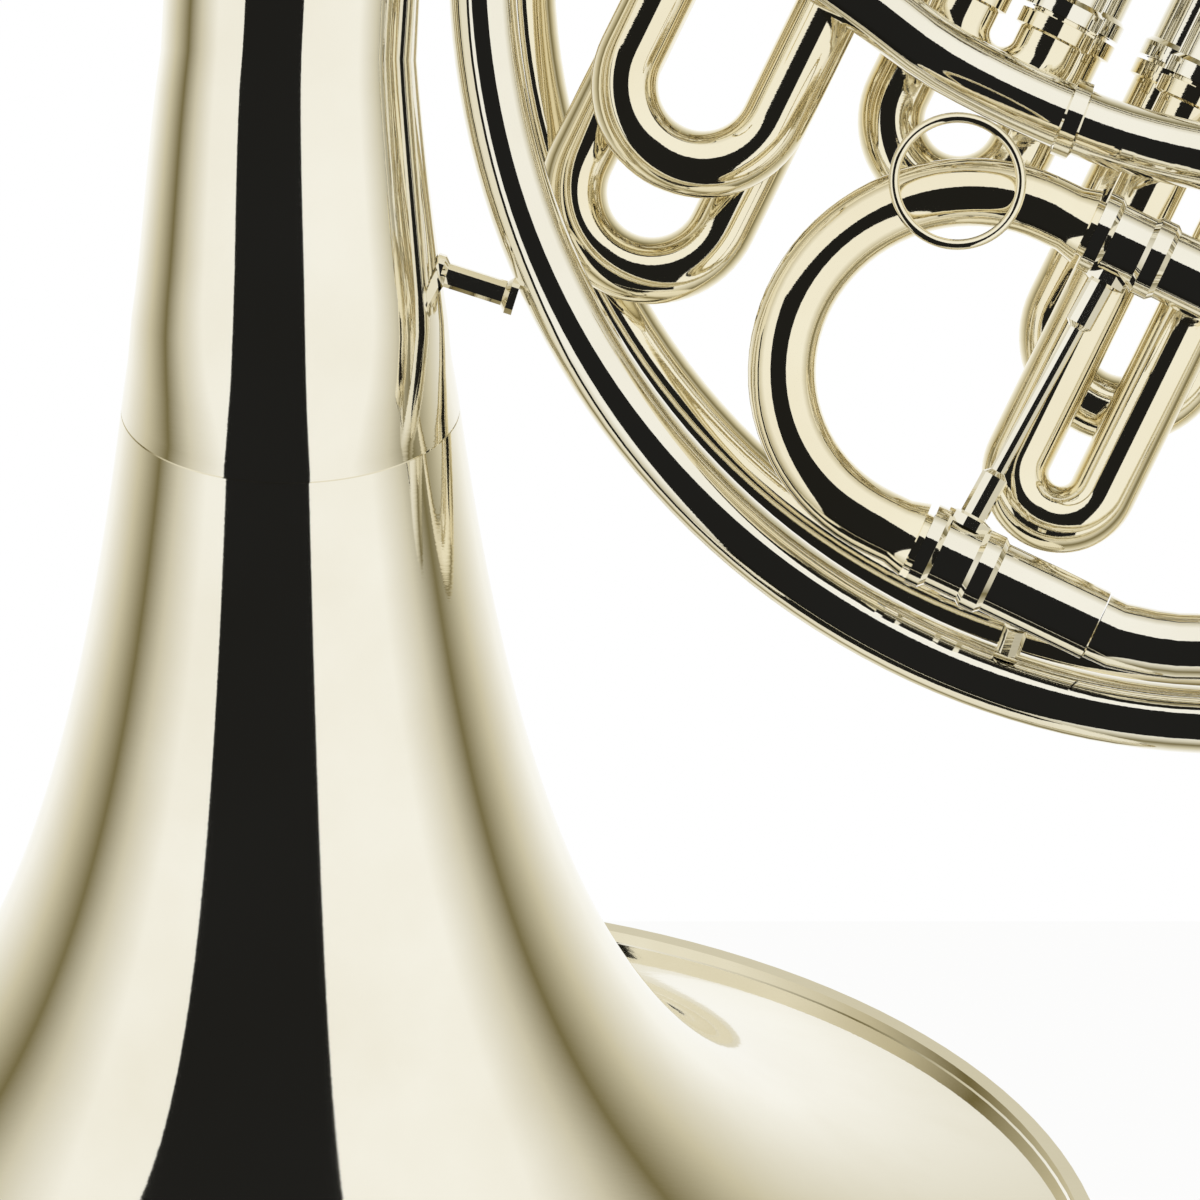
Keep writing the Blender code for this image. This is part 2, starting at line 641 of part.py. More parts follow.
def make_ring(name, centre, ring_r, wire_r, finish):
    """A pull ring of round wire that lies in the plane of the body."""
    bm = bmesh.new()
    steps = 20
    sides = 6
    rows = []
    for number in range(steps):
        around = 2 * math.pi * number / steps
        row = []
        for side in range(sides):
            angle = 2 * math.pi * side / sides
            reach = ring_r + wire_r * math.cos(angle)
            place = (reach * math.cos(around), wire_r * math.sin(angle), reach * math.sin(around))
            row.append(bm.verts.new(centre + Vector(place)))
        rows.append(row)
    for number in range(steps):
        row = rows[number]
        after = rows[(number + 1) % steps]
        for side in range(sides):
            corner = (side + 1) % sides
            bm.faces.new((row[side], row[corner], after[corner], after[side]))
    return finish_object(name, bm, finish)


def make_small_parts(gold, silver):
    make_ring("main_slide_pull_ring", Vector((-52, TUNING_Y - TUBE_R - 1.4, -44.3)), 11.9, 1.0, gold)
    hook = [
        Vector((-135, -16.8, 40)), Vector((-135.5, -26, 42)), Vector((-137, -40, 37)),
        Vector((-137, -45, 22)), Vector((-135, -39, 11)),
    ]
    path = smooth_path(hook, 7)
    sweep("finger_hook", path, [2.6] * len(path), gold, sides=8)


clear_scene()
gold_metal = material("gold_lacquer", (0.86, 0.74, 0.48), 0.12)
silver_metal = material("nickel_silver", (0.82, 0.79, 0.70), 0.10)
make_bell(silver_metal)
make_bell_tail(silver_metal)
make_branches(gold_metal, silver_metal)
make_main_slide(gold_metal, silver_metal)
make_leadpipe(gold_metal, silver_metal)
for valve_number in range(4):
    make_valve(valve_number, gold_metal, silver_metal)
for slide in SLIDES:
    make_valve_slide(*slide, gold_metal, silver_metal)
make_levers(gold_metal, silver_metal)
make_braces(gold_metal, silver_metal)
make_small_parts(gold_metal, silver_metal)
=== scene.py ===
# Looks of a double french horn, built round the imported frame.
# The origin is the centre of the body circle. Lengths are millimetres until a mesh is made.
import json
import math

import bmesh
import bpy
from mathutils import Matrix, Vector


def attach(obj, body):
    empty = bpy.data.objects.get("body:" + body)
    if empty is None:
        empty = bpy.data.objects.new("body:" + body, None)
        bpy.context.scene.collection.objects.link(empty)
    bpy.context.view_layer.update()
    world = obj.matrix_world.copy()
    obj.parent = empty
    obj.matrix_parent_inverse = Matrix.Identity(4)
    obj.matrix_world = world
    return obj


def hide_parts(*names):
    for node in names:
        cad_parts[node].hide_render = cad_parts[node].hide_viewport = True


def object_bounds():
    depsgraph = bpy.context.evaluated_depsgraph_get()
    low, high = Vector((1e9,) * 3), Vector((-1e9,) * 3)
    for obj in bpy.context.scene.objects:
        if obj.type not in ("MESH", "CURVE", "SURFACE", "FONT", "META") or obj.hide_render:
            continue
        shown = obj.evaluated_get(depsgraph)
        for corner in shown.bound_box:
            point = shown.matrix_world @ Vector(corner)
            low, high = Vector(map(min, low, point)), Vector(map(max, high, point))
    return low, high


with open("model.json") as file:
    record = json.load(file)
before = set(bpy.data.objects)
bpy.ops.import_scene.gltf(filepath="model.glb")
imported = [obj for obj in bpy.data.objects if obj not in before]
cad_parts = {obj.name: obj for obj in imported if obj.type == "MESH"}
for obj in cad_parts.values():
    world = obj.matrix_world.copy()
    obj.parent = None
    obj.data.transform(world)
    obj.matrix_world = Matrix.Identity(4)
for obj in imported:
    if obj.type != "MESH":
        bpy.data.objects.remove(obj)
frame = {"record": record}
cad_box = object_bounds()
BODY_OF = {}
for body_name, node_names in frame["record"]["behaviour"]["bodies"].items():
    for node_name in node_names:
        BODY_OF[node_name] = body_name

MILLI = 0.001

# Driving sizes
TUBE_R = 6.4
SLEEVE_R = 6.6
SLEEVE_BORE_R = 6.0
INNER_LEG_R = 5.6
COLLAR_R = TUBE_R + 1.2
COLLAR_WIDTH = 3.0
COLLAR_EDGE = 0.4
SIDES = 32
ROD_SIDES = 10
SHARP_ANGLE = math.radians(35)
GAP = 0.3
BRANCH_STEP = 5

FRONT_Y = -10.0
REAR_Y = 6.0
DEEP_Y = 22.0
INNER_LOOP_Y = 38.0
TUNING_Y = -24.0
LEADPIPE_Y = -27.0

OUTER_LOOP_LEFT_R = 141.0
OUTER_LOOP_LOW_R = 145.5
INNER_LOOP_R = 134.0

BELL_RIM_R = 155.0
BELL_FLARE_LENGTH = 40.0
BELL_FLARE_POWER = 0.9
BELL_WALL = 0.8
BELL_STRAIGHT = 190.0
BELL_TILT = math.radians(26.5)
BELL_X = -177.5
BELL_RIM_Z = -256.6
BELL_SIDES = 144
BELL_STEPS = 60
RIM_WIDTH = 3.0
RIM_OVERHANG = 0.5
TAIL_STEP = 6.0
TAIL_BEND = 20.0
TAIL_START_R = 24.0
TAIL_START_ANGLE = 170.0
TAIL_ARC_STEPS = 13
TAIL_TAPER = 0.8
TAIL_END_R = 7.0
TAIL_END_ANGLE = -15.0
TAIL_CLEAR_R = 151.5
TAIL_FRONT_Y = -12.0
TAIL_REAR_Y = 8.0

VALVE_R = 17.0
VALVE_BORE_R = 14.0
ROTOR_R = 13.7
VALVE_FRONT_Y = -2.0
VALVE_BACK_Y = 32.0
VALVE_FLOOR = 4.0
VALVE_SIDES = 60
CAP_THICK = 4.0
SPINDLE_R = 3.0
SPINDLE_OUT = 3.2
SPINDLE_PLAY = 0.4
ROTOR_PLAY = 0.5
ARM_THICK = 3.0
ARM_REACH = 14.0
ARM_HUB_R = 5.0
ARM_TIP_R = 3.0
ARM_TURN = math.radians(45)
VALVE_PITCH = 46.7
PORT_RUN = 9.0
FIRST_VALVE = Vector((-62.0, 0.0, 51.0))
SLIDE_DIR = Vector((-0.44, 0.0, -0.898)).normalized()
ROW_DIR = Vector((0.898, 0.0, -0.44)).normalized()

# Each valve slide: name, valve number, layer, half the leg spacing, reach of its bow
SLIDES = (
    ("first_front", 0, REAR_Y, 15.0, 106.0),
    ("first_rear", 0, DEEP_Y, 15.0, 128.0),
    ("second_front", 1, REAR_Y, 8.7, 66.0),
    ("second_rear", 1, DEEP_Y, 13.0, 88.0),
    ("third_front", 2, REAR_Y, 8.7, 136.0),
    ("third_rear", 2, DEEP_Y, 14.0, 112.0),
)
SLEEVE_LENGTH = 26.0
SLEEVE_LIP_R = 7.6
LEG_INSET = 4.0
BRACE_DISC_R = 3.6
BRACE_DISC = 1.2
BRACE_ROD_R = 1.6
BRACE_SHORTEST = 2.6
SLIDE_BOW_STEPS = 32

LEVER_Y = -26.0
LEVER_ROW_OFFSET = 30.0
ROD_R = 2.0
ROD_OVERHANG = 15
HUB_PLAY = 0.3
LEVER_HUB_R = 4.0
LEVER_HUB_LENGTH = 14.0
LEVER_REACH = 40.0
LEVER_TAIL = 17.0
LEVER_BAR = 3.0
BAR_OUT = 1.2
BAR_THICK = 2.4
BAR_SHARE = 0.8
PADDLE_R = 9.0
PADDLE_STRETCH = 1.4
PADDLE_OUT = 2.0
PADDLE_THICK = 2.6
PADDLE_STEPS = 14
POST_FOOT_R = 4.0
POST_R = 2.2
FOOT_RIM = 1.5
FOOT_END = 2.5
PLATE_Y = -6.8
PLATE_THICK = 2.5
VALVE_NAMES = ("first", "second", "third", "change")

# The metals: drifting clouds of colour and gloss, and fine scratches stretched along Z
CLOUD_SCALE = 22.0
CLOUD_DETAIL = 5.0
DARK_UP_TO = 0.3
LIGHT_FROM = 0.62
SCRATCH_SCALE = 260.0
SCRATCH_DETAIL = 3.0
SCRATCH_STRETCH = (1.0, 1.0, 7.0)
SCRATCH_STRENGTH = 0.015
SCRATCH_DEPTH = 0.0004


def metal(name, light, dark, smooth, worn):
    """Polished metal: its colour and gloss drift slowly, with fine hairline scratches."""
    made = bpy.data.materials.new(name)
    made.use_nodes = True
    nodes = made.node_tree.nodes
    links = made.node_tree.links
    shader = nodes["Principled BSDF"]
    shader.inputs["Metallic"].default_value = 1.0
    place = nodes.new("ShaderNodeTexCoord")
    clouds = nodes.new("ShaderNodeTexNoise")
    clouds.inputs["Scale"].default_value = CLOUD_SCALE
    clouds.inputs["Detail"].default_value = CLOUD_DETAIL
    links.new(place.outputs["Object"], clouds.inputs["Vector"])
    tint = nodes.new("ShaderNodeValToRGB")
    tint.color_ramp.elements[0].position = DARK_UP_TO
    tint.color_ramp.elements[0].color = (*dark, 1.0)
    tint.color_ramp.elements[1].position = LIGHT_FROM
    tint.color_ramp.elements[1].color = (*light, 1.0)
    links.new(clouds.outputs["Fac"], tint.inputs["Fac"])
    links.new(tint.outputs["Color"], shader.inputs["Base Color"])
    gloss = nodes.new("ShaderNodeMapRange")
    gloss.inputs["To Min"].default_value = smooth
    gloss.inputs["To Max"].default_value = worn
    links.new(clouds.outputs["Fac"], gloss.inputs["Value"])
    links.new(gloss.outputs["Result"], shader.inputs["Roughness"])
    scratches = nodes.new("ShaderNodeTexNoise")
    scratches.inputs["Scale"].default_value = SCRATCH_SCALE
    scratches.inputs["Detail"].default_value = SCRATCH_DETAIL
    stretch = nodes.new("ShaderNodeMapping")
    stretch.inputs["Scale"].default_value = SCRATCH_STRETCH
    links.new(place.outputs["Object"], stretch.inputs["Vector"])
    links.new(stretch.outputs["Vector"], scratches.inputs["Vector"])
    bump = nodes.new("ShaderNodeBump")
    bump.inputs["Strength"].default_value = SCRATCH_STRENGTH
    bump.inputs["Distance"].default_value = SCRATCH_DEPTH
    links.new(scratches.outputs["Fac"], bump.inputs["Height"])
    links.new(bump.outputs["Normal"], shader.inputs["Normal"])
    return made


def combine(tree, operation, *values):
    """A math node fed with sockets or plain numbers, given back as its output socket."""
    node = tree.nodes.new("ShaderNodeMath")
    node.operation = operation
    for number, value in enumerate(values):
        if isinstance(value, float):
            node.inputs[number].default_value = value
        else:
            tree.links.new(value, node.inputs[number])
    return node.outputs["Value"]


def smooth_path(points, step):
    """Points along a Catmull-Rom curve through the given ones, about one every step."""
    path = []
    padded = [points[0] * 2 - points[1], *points, points[-1] * 2 - points[-2]]
    for before, start, end, after in zip(padded, padded[1:], padded[2:], padded[3:]):
        count = max(1, round((end - start).length / step))
        for number in range(count):
            t = number / count
            curve = start * 2 + (end - before) * t
            curve += (before * 2 - start * 5 + end * 4 - after) * t * t
            curve += (start * 3 - before - end * 3 + after) * t * t * t
            path.append(curve * 0.5)
    path.append(points[-1])
    return path


def arc_points(centre, radius_at, start, end, y, count):
    """Points on an arc in a plane of constant y, with a radius that may change with the angle."""
    points = []
    for number in range(count + 1):
        degrees = start + (end - start) * number / count
        angle = math.radians(degrees)
        radius = radius_at(degrees)
        points.append(centre + Vector((radius * math.cos(angle), y, radius * math.sin(angle))))
    return points


def rings_along(path, radii, sides):
    """Vertex rings of the given radii, square to a path, carried along without twist."""
    tangents = []
    for number in range(len(path)):
        ahead = path[min(number + 1, len(path) - 1)]
        behind = path[max(number - 1, 0)]
        tangents.append((ahead - behind).normalized())
    side = tangents[0].orthogonal().normalized()
    rings = []
    for place, tangent, radius in zip(path, tangents, radii):
        side = (side - tangent * side.dot(tangent)).normalized()
        other = tangent.cross(side)
        ring = []
        for number in range(sides):
            angle = 2 * math.pi * number / sides
            offset = side * math.cos(angle) + other * math.sin(angle)
            ring.append(place + offset * radius)
        rings.append(ring)
    return rings


def finish_object(name, bm, finish, pivot=Vector((0, 0, 0))):
    """Turn a bmesh in millimetres into an object whose origin is at the pivot.

    A piece that has the name of a node is dressed as that node. The parts of a fused piece aren't.
    """
    bmesh.ops.recalc_face_normals(bm, faces=bm.faces)
    bmesh.ops.transform(bm, matrix=Matrix.Scale(MILLI, 4), verts=bm.verts)
    bmesh.ops.translate(bm, vec=-pivot * MILLI, verts=bm.verts)
    mesh = bpy.data.meshes.new(name)
    bm.to_mesh(mesh)
    bm.free()
    mesh.shade_smooth()
    mesh.set_sharp_from_angle(angle=SHARP_ANGLE)
    mesh.materials.append(finish)
    made = bpy.data.objects.new(name, mesh)
    made.location = pivot * MILLI
    bpy.context.collection.objects.link(made)
    if name in BODY_OF:
        dress(made, name)
    return made


def dress(made, node):
    """Let a finished piece stand for its node and ride on that node's body."""
    made.name = node + "_finish"
    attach(made, BODY_OF[node])
    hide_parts(node)


def sweep(name, path, radii, finish, bores=None, sides=SIDES, pivot=Vector((0, 0, 0))):
    """A round solid along a path; with bores it is a tube that is open at both ends."""
    bm = bmesh.new()
    outer = [[bm.verts.new(v) for v in ring] for ring in rings_along(path, radii, sides)]
    skins = [outer]
    if bores:
        skins.append([[bm.verts.new(v) for v in ring] for ring in rings_along(path, bores, sides)])
    for skin in skins:
        for lower, upper in zip(skin, skin[1:]):
            for number in range(sides):
                after = (number + 1) % sides
                bm.faces.new((lower[number], lower[after], upper[after], upper[number]))
    for end in (0, -1):
        if bores:
            for number in range(sides):
                after = (number + 1) % sides
                corners = (outer[end][number], outer[end][after])
                bm.faces.new((*corners, skins[1][end][after], skins[1][end][number]))
        else:
            bm.faces.new(outer[end])
    return finish_object(name, bm, finish, pivot)


def turned(name, start, axis, profile, finish, sides=SIDES, pivot=Vector((0, 0, 0))):
    """A closed outline of (distance along the axis, radius) points turned about an axis."""
    axis = axis.normalized()
    path = [start + axis * along for along, _ in profile]
    side = axis.orthogonal().normalized()
    other = axis.cross(side)
    bm = bmesh.new()
    rings = []
    for place, (_, radius) in zip(path, profile):
        if radius == 0:
            rings.append([bm.verts.new(place)] * sides)
            continue
        ring = []
        for number in range(sides):
            angle = 2 * math.pi * number / sides
            offset = side * math.cos(angle) + other * math.sin(angle)
            ring.append(bm.verts.new(place + offset * radius))
        rings.append(ring)
    pairs = list(zip(rings, rings[1:]))
    if profile[0][1] and profile[-1][1]:
        pairs.append((rings[-1], rings[0]))
    for lower, upper in pairs:
        for number in range(sides):
            after = (number + 1) % sides
            corners = []
            for vert in (lower[number], lower[after], upper[after], upper[number]):
                if vert not in corners:
                    corners.append(vert)
            bm.faces.new(corners)
    return finish_object(name, bm, finish, pivot)


def slab(name, outline, y_front, thick, finish, pivot=Vector((0, 0, 0))):
    """A flat plate: an outline of (x, z) points extruded backwards along Y."""
    bm = bmesh.new()
    front = [bm.verts.new((x, y_front, z)) for x, z in outline]
    back = [bm.verts.new((x, y_front + thick, z)) for x, z in outline]
    bm.faces.new(front)
    bm.faces.new(back)
    for number in range(len(outline)):
        after = (number + 1) % len(outline)
        bm.faces.new((front[number], front[after], back[after], back[number]))
    return finish_object(name, bm, finish, pivot)


def fuse(name, pieces):
    """Union of several objects, left on the first one under the given name."""
    base = pieces[0]
    for piece in pieces[1:]:
        union = base.modifiers.new("union", "BOOLEAN")
        union.operation = "UNION"
        union.object = piece
    depsgraph = bpy.context.evaluated_depsgraph_get()
    mesh = bpy.data.meshes.new_from_object(base.evaluated_get(depsgraph))
    base.modifiers.clear()
    base.data = mesh
    base.name = name
    mesh.name = name
    for piece in pieces[1:]:
        bpy.data.objects.remove(piece, do_unlink=True)
    mesh.shade_smooth()
    mesh.set_sharp_from_angle(angle=SHARP_ANGLE)
    # A lever is dressed later, when its origin has been moved to its hinge
    if name.endswith("sleeves"):
        dress(base, name)
    return base


def collared(path, places):
    """A path and its tube radii, with a raised collar at each given distance along it."""
    length = [0.0]
    for start, end in zip(path, path[1:]):
        length.append(length[-1] + (end - start).length)
    marks = [(at, path[number], TUBE_R) for number, at in enumerate(length)]
    end = COLLAR_WIDTH + COLLAR_EDGE
    steps = ((-COLLAR_EDGE, TUBE_R), (0.0, COLLAR_R), (COLLAR_WIDTH, COLLAR_R), (end, TUBE_R))
    for place in places:
        for shift, size in steps:
            at = place + shift
            index = max(0, min(len(path) - 2, sum(1 for mark in length if mark <= at) - 1))
            part = (at - length[index]) / (length[index + 1] - length[index])
            marks.append((at, path[index].lerp(path[index + 1], part), size))
    kept = []
    for at, point, size in sorted(marks, key=lambda mark: mark[0]):
        raised = any(place - COLLAR_EDGE < at < place + end for place in places)
        if raised and size == TUBE_R:
            continue
        kept.append((at, point, size))
    return [point for _, point, _ in kept], [size for _, _, size in kept]


def bell_radius(distance):
    """The bell's outside radius at a distance from the rim, along its straight axis."""
    return BELL_RIM_R * (BELL_FLARE_LENGTH / (distance + BELL_FLARE_LENGTH)) ** BELL_FLARE_POWER


def bell_axis_point(distance):
    """The point on the straight bell axis at a distance from the rim."""
    rim_y = BELL_STRAIGHT * math.sin(BELL_TILT)
    y = rim_y - distance * math.sin(BELL_TILT)
    z = BELL_RIM_Z + distance * math.cos(BELL_TILT)
    return Vector((BELL_X, y, z))


def make_bell(finish):
    """The flare, an open shell with its rings closer together near the rim, and the rim wire."""
    distances = [BELL_STRAIGHT * (step / BELL_STEPS) ** 2 for step in range(BELL_STEPS + 1)]
    path = [bell_axis_point(d) for d in distances]
    radii = [bell_radius(d) for d in distances]
    bores = [r - BELL_WALL for r in radii]
    sweep("bell_flare", path, radii, finish, bores, sides=BELL_SIDES)
    rim = bell_axis_point(0)
    toward = bell_axis_point(1) - rim
    inner = BELL_RIM_R + GAP
    outer = inner + RIM_WIDTH
    profile = ((0, inner), (RIM_WIDTH, inner), (RIM_WIDTH, outer), (0, outer))
    turned("bell_rim_wire", rim - toward * RIM_OVERHANG, toward, profile, finish, sides=BELL_SIDES)


def make_bell_tail(finish):
    """The tapering tail: up from the bell throat, over the top and in to the change valve."""
    throat = bell_axis_point(BELL_STRAIGHT)
    bend = bell_axis_point(BELL_STRAIGHT + TAIL_BEND)
    points = [throat, bend, Vector((BELL_X, TAIL_FRONT_Y, -20.0))]
    radii_at = [bell_radius(BELL_STRAIGHT), bell_radius(BELL_STRAIGHT + TAIL_BEND), 24.2]
    for number in range(TAIL_ARC_STEPS + 1):
        share = number / TAIL_ARC_STEPS
        degrees = TAIL_START_ANGLE + (TAIL_END_ANGLE - TAIL_START_ANGLE) * share
        radius = TAIL_START_R + (TAIL_END_R + 1.0 - TAIL_START_R) * share ** TAIL_TAPER
        line = TAIL_CLEAR_R + radius
        angle = math.radians(degrees)
        y = TAIL_FRONT_Y + (TAIL_REAR_Y - TAIL_FRONT_Y) * share
        points.append(Vector((line * math.cos(angle), y, line * math.sin(angle))))
        radii_at.append(radius)
    points.extend((Vector((136, 12, -68)), Vector((114, 18, -60)), Vector((98, 22, -38))))
    points.extend(reversed(port(3, ROW_DIR.xz, DEEP_Y)))
    radii_at.extend([TAIL_END_R] * (len(points) - len(radii_at)))
    path = smooth_path(points, TAIL_STEP)
    radii = spread_radii(points, radii_at, path)
    sweep("bell_tail", path, radii, finish, sides=BELL_SIDES)


def spread_radii(points, radii_at, path):
    """Radius at every path point, from the nearest two of the points that the path passes."""
    marks = []
    index = 0
    for number, place in enumerate(path):
        if index < len(points) and (place - points[index]).length < 1e-6:
            marks.append(number)
            index += 1
    radii = []
    for number in range(len(path)):
        span = max(0, sum(1 for mark in marks if mark <= number) - 1)
        after = min(span + 1, len(marks) - 1)
        width = max(1, marks[after] - marks[span])
        share = (number - marks[span]) / width
        radii.append(radii_at[span] + (radii_at[after] - radii_at[span]) * share)
    return radii


def valve_centre(number):
    """The middle of a valve, in the plane y = 0."""
    return FIRST_VALVE + ROW_DIR * (VALVE_PITCH * number)


def port(number, direction, y):
    """Two points square to a valve casing: the tube's end just off it, and one further out."""
    centre = valve_centre(number) + Vector((0, y, 0))
    way = Vector((direction[0], 0, direction[1])).normalized()
    return centre + way * (VALVE_R + GAP), centre + way * (VALVE_R + PORT_RUN)


def make_branches(gold, silver):
    """The two body loops and the front branch, each from one valve's port to another's."""
    centre = Vector((0, 0, 0))

    def outer_radius(degrees):
        share = max(0.0, min(1.0, (degrees - 180) / 90))
        return OUTER_LOOP_LEFT_R + (OUTER_LOOP_LOW_R - OUTER_LOOP_LEFT_R) * share

    points = [
        *port(1, (0.4, 0.9), REAR_Y),
        Vector((-9, 4, 78)), Vector((-17, -3, 106)), Vector((-42, -8, 127)),
    ]
    points.extend(arc_points(centre, outer_radius, 125, 310, FRONT_Y, 12))
    points.extend((Vector((102, -6, -84)), *reversed(port(3, (0.55, -0.84), REAR_Y))))
    path, radii = collared(smooth_path(points, BRANCH_STEP), (60, 560))
    sweep("outer_loop", path, radii, silver)

    points = [*port(0, (0.5, 0.87), DEEP_Y), Vector((-44, 26, 88)), Vector((-58, 35, 104))]
    points.extend(arc_points(centre, lambda _: INNER_LOOP_R, 135, 295, INNER_LOOP_Y, 12))
    points.extend((Vector((76, 34, -94)), Vector((72, 26, -60)), *reversed(port(3, (0.1, -1), DEEP_Y))))
    path, radii = collared(smooth_path(points, BRANCH_STEP), (40, 500))
    sweep("inner_loop", path, radii, gold)

    points = [
        *port(0, (-0.44, 0.9), REAR_Y), Vector((-84, -1, 86)), Vector((-97, -8, 76)),
        Vector((-106, FRONT_Y, 52)), Vector((-99, FRONT_Y, 20)), Vector((-82, FRONT_Y, 1)),
        Vector((-66, FRONT_Y, -11.3)), Vector((-53, FRONT_Y, -20.8)), Vector((-34, FRONT_Y, -30.2)),
        Vector((-15, FRONT_Y, -36.8)), Vector((6, FRONT_Y, -40)), Vector((30, -5, -36)),
        *reversed(port(3, (-0.87, -0.5), REAR_Y)),
    ]
    path, radii = collared(smooth_path(points, BRANCH_STEP), (90, 190))
    sweep("front_branch", path, radii, silver)


# Main tuning slide: the two ends of its bow, and the ways its legs run
BOW_TOP = Vector((-34.3, TUNING_Y, -49.4))
BOW_LOW = Vector((-66.6, TUNING_Y, -108.1))
LEG_WAY = Vector((0.907, 0, -0.43)).normalized()
BOW_SLEEVE_START = 9.0
BOW_SLEEVE_LENGTH = 36.0
BOW_LEG_END = BOW_SLEEVE_START + BOW_SLEEVE_LENGTH - 3
BOW_LIP_AT = BOW_SLEEVE_START - 1.5
BOW_LIP_R = TUBE_R + 1.0
BOW_STRAIGHT = 4
BOW_STEPS = 40
LEG_SHOULDER = 0.3
STRUT_AT = BOW_SLEEVE_START + 6


def make_main_slide(gold, silver):
    """The main tuning slide's bow, its two sleeves with their strut, and the branch beyond."""
    middle = (BOW_TOP + BOW_LOW) / 2
    radius = (BOW_TOP - BOW_LOW).length / 2
    up = (BOW_TOP - BOW_LOW).normalized()
    out = -LEG_WAY
    points = [BOW_TOP + LEG_WAY * BOW_LEG_END, BOW_TOP + LEG_WAY * BOW_STRAIGHT]
    for number in range(BOW_STEPS + 1):
        angle = math.pi * number / BOW_STEPS
        points.append(middle + up * (radius * math.cos(angle)) + out * (radius * math.sin(angle)))
    points.append(BOW_LOW + LEG_WAY * BOW_STRAIGHT)
    points.append(BOW_LOW + LEG_WAY * BOW_LEG_END)
    path = []
    radii = []
    for number, place in enumerate(points):
        size = INNER_LEG_R if number in (0, len(points) - 1) else TUBE_R
        if number == len(points) - 1:
            lip = BOW_LOW + LEG_WAY * BOW_LIP_AT
            path.extend((lip, lip + LEG_WAY * LEG_SHOULDER))
            radii.extend((BOW_LIP_R, INNER_LEG_R))
        path.append(place)
        radii.append(size)
        if number == 0:
            lip = BOW_TOP + LEG_WAY * BOW_LIP_AT
            path.extend((lip + LEG_WAY * LEG_SHOULDER, lip))
            radii.extend((INNER_LEG_R, BOW_LIP_R))
    sweep("main_tuning_bow", path, radii, gold, pivot=BOW_TOP)
    pieces = []
    for end in (BOW_TOP, BOW_LOW):
        start = end + LEG_WAY * BOW_SLEEVE_START
        profile = (
            (0, SLEEVE_BORE_R), (0, 8.0), (2.5, 8.0), (3.5, SLEEVE_R + 0.4), (10, SLEEVE_R + 0.4),
            (11, 7.8), (14, 7.8), (15, SLEEVE_R + 0.3), (BOW_SLEEVE_LENGTH, SLEEVE_R + 0.3),
            (BOW_SLEEVE_LENGTH, SLEEVE_BORE_R),
        )
        pieces.append(turned("sleeve", start, LEG_WAY, profile, silver))
    strut_top = BOW_TOP + LEG_WAY * STRUT_AT
    strut_low = BOW_LOW + LEG_WAY * STRUT_AT
    way = (strut_low - strut_top).normalized()
    span = (strut_low - strut_top).length
    near = SLEEVE_R - 0.4
    profile = (
        (near, 0), (near, 4.5), (near + 2, 4.5), (near + 2.6, 2.6), (near + 11, 2.6), (near + 12, 1.5),
        (span - near - 12, 1.5), (span - near - 11, 2.6), (span - near - 2.6, 2.6),
        (span - near - 2, 4.5), (span - near, 4.5), (span - near, 0),
    )
    pieces.append(turned("strut", strut_top, way, profile, silver, sides=ROD_SIDES))
    fuse("main_slide_sleeves", pieces)

    start = BOW_TOP + LEG_WAY * (BOW_SLEEVE_START + BOW_SLEEVE_LENGTH + GAP)
    points = [start, start + LEG_WAY * 14, Vector((28, -16, -74)), Vector((42, 4, -56))]
    points.extend(reversed(port(3, (-0.78, -0.63), DEEP_Y)))
    path = smooth_path(points, TUNING_BRANCH_STEP)
    sweep("tuning_branch", path, [TUBE_R] * len(path), gold)


LEADPIPE_R = 131.5
LEADPIPE_TAPER = 1.8
LEADPIPE_STEP = 5
TUNING_BRANCH_STEP = 4
# Each place on the leadpipe's arc: degrees round the body's centre, and its layer
LEADPIPE_ARC = (
    (-92, TUNING_Y), (-76, -26), (-60, LEADPIPE_Y), (-50, LEADPIPE_Y),
    (-36, LEADPIPE_Y), (-18, LEADPIPE_Y), (0, LEADPIPE_Y), (14, LEADPIPE_Y),
)
RECEIVER_START = Vector((131.0, LEADPIPE_Y, 62.0))
MOUTH_WAY = Vector((0.08, 0, 1)).normalized()
RECEIVER_LENGTH = 34.0
MOUTHPIECE_LENGTH = 66.0
MOUTHPIECE_SIDES = 16
SHANK_START = 12


